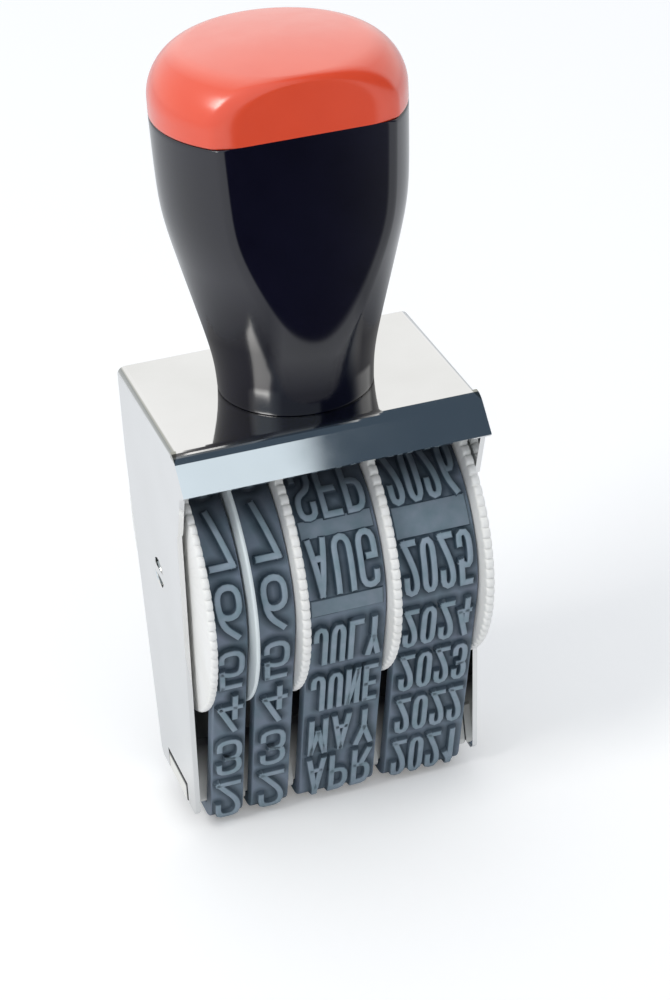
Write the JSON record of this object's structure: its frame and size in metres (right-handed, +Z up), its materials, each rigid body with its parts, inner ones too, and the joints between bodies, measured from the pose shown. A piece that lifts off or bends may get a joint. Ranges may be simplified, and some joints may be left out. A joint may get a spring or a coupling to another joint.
{
  "type": "band date stamp",
  "caption": "Hand date stamp: rubber type bands on knurled finger wheels in a bent steel frame, under a flared black grip with a red cap.",
  "frame": {"origin": "middle of the print face, on the plane that the type rests on", "axes": "+X across the bands from day to year, +Y to the back, +Z up through the handle"},
  "size_m": [0.03, 0.0282, 0.0797],
  "materials": {
    "nickel_steel": "bright plated sheet",
    "dark_steel": "plain",
    "black_plastic": "gloss",
    "red_plastic": "satin gloss",
    "white_plastic": "satin",
    "grey_rubber": "matte"
  },
  "bodies": {
    "stamp_frame": {"frame": "nickel_steel", "handle_grip": "black_plastic", "handle_cap": "red_plastic", "handle_screw": "dark_steel", "lock_washer": "nickel_steel", "wheel_axle": "nickel_steel", "band_separator": "white_plastic", "tens_band": "grey_rubber", "units_band": "grey_rubber", "month_band": "grey_rubber", "year_band": "grey_rubber", "bridge": "white_plastic"},
    "tens_dial": {"tens_wheel": "white_plastic"},
    "units_dial": {"units_wheel": "white_plastic"},
    "month_dial": {"month_wheel": "white_plastic"},
    "year_dial": {"year_wheel": "white_plastic"}
  },
  "joints": [
    {"name": "tens_turn", "type": "hinge", "parent": "stamp_frame", "child": "tens_dial", "pos_m": [0, 0, 0.0275], "axis": [1, 0, 0], "continuous": true},
    {"name": "units_turn", "type": "hinge", "parent": "stamp_frame", "child": "units_dial", "pos_m": [0, 0, 0.0275], "axis": [1, 0, 0], "continuous": true},
    {"name": "month_turn", "type": "hinge", "parent": "stamp_frame", "child": "month_dial", "pos_m": [0, 0, 0.0275], "axis": [1, 0, 0], "continuous": true},
    {"name": "year_turn", "type": "hinge", "parent": "stamp_frame", "child": "year_dial", "pos_m": [0, 0, 0.0275], "axis": [1, 0, 0], "continuous": true}
  ]
}
